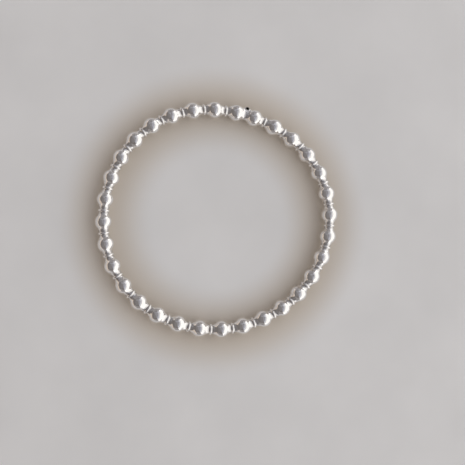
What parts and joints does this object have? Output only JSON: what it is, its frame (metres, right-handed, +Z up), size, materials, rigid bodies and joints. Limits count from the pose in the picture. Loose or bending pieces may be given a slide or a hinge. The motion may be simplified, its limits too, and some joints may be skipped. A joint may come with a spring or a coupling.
{
  "type": "stackable ring",
  "caption": "Thin plain finger ring of polished silver bead wire: oval beads with a narrow collar between each pair, closed by a soldered joint. Slides on a finger and stacks with others.",
  "frame": {"origin": "on the surface that the ring lies on, under the middle of its outline", "axes": "+Z up through the finger hole, +Y towards the soldered joint, +X to the right of it"},
  "size_m": [0.0212, 0.0206, 0.0015],
  "materials": {
    "silver": "polished sterling silver, slightly worn"
  },
  "bodies": {
    "root": {"beaded_band": "silver"}
  },
  "joints": []
}
